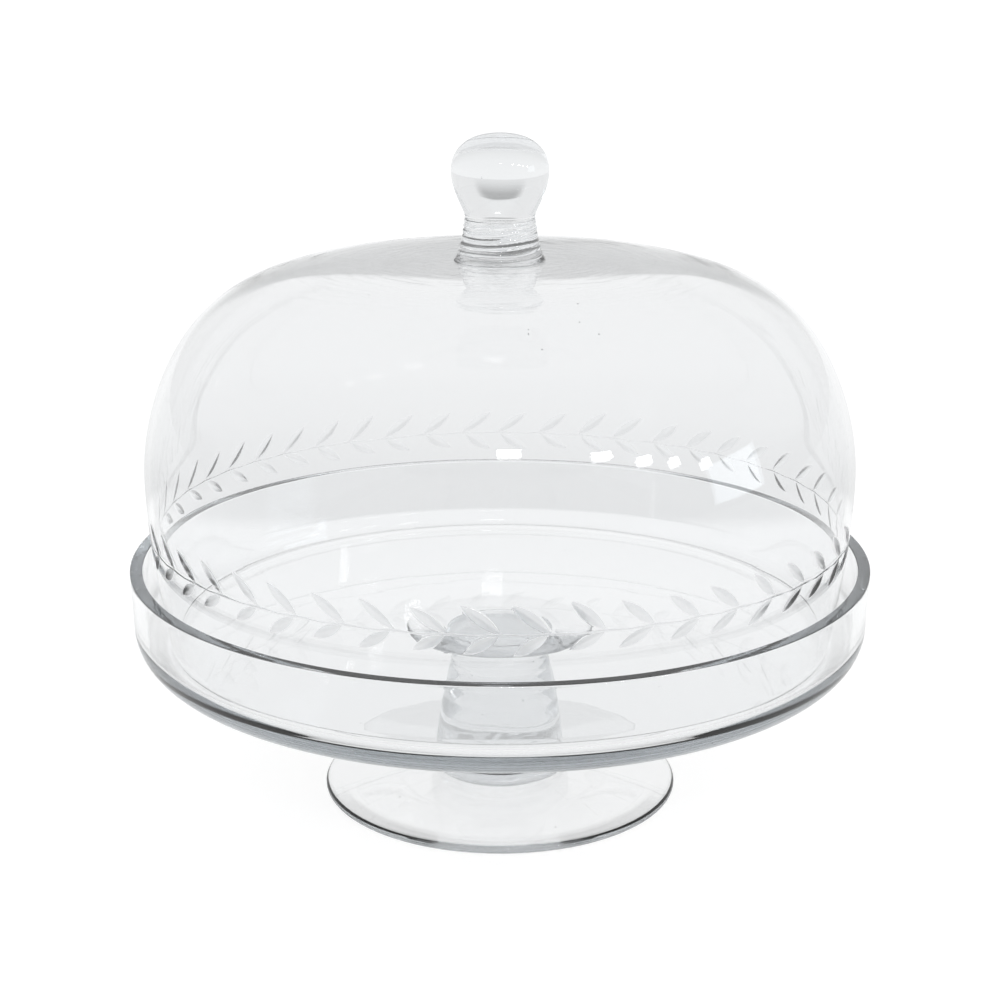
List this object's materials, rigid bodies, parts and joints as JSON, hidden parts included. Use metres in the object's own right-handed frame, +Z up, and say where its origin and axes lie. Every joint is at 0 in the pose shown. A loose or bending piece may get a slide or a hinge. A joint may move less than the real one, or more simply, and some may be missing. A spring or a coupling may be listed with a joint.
{
  "type": "cake stand dome",
  "caption": "Clear glass footed cake stand with a high-walled tray and a lift-off glass dome with ball knob and cut leaf band.",
  "frame": {"origin": "centre of the foot's ground ring, on the table", "axes": "+Z up along the common axis of foot, stem, tray, dome and knob; -Y is the side seen in the picture"},
  "size_m": [0.3, 0.3, 0.2711],
  "materials": {
    "clear_glass": "fire polished, clear, faint grey-blue at thick edges",
    "cut_dome_glass": "fire polished and clear, with leaves wheel-cut and left matt",
    "tooled_glass": "clear with tooling rings"
  },
  "bodies": {
    "stand": {"foot": "clear_glass", "lower_wafer": "tooled_glass", "stem": "tooled_glass", "upper_wafer": "tooled_glass", "tray": "clear_glass"},
    "cover": {"dome": "cut_dome_glass", "collar": "tooled_glass", "knob": "clear_glass"}
  },
  "joints": [
    {"name": "dome_lift", "type": "slide", "parent": "stand", "child": "cover", "axis": [0, 0, 1], "range_m": [0, 0.25]}
  ]
}
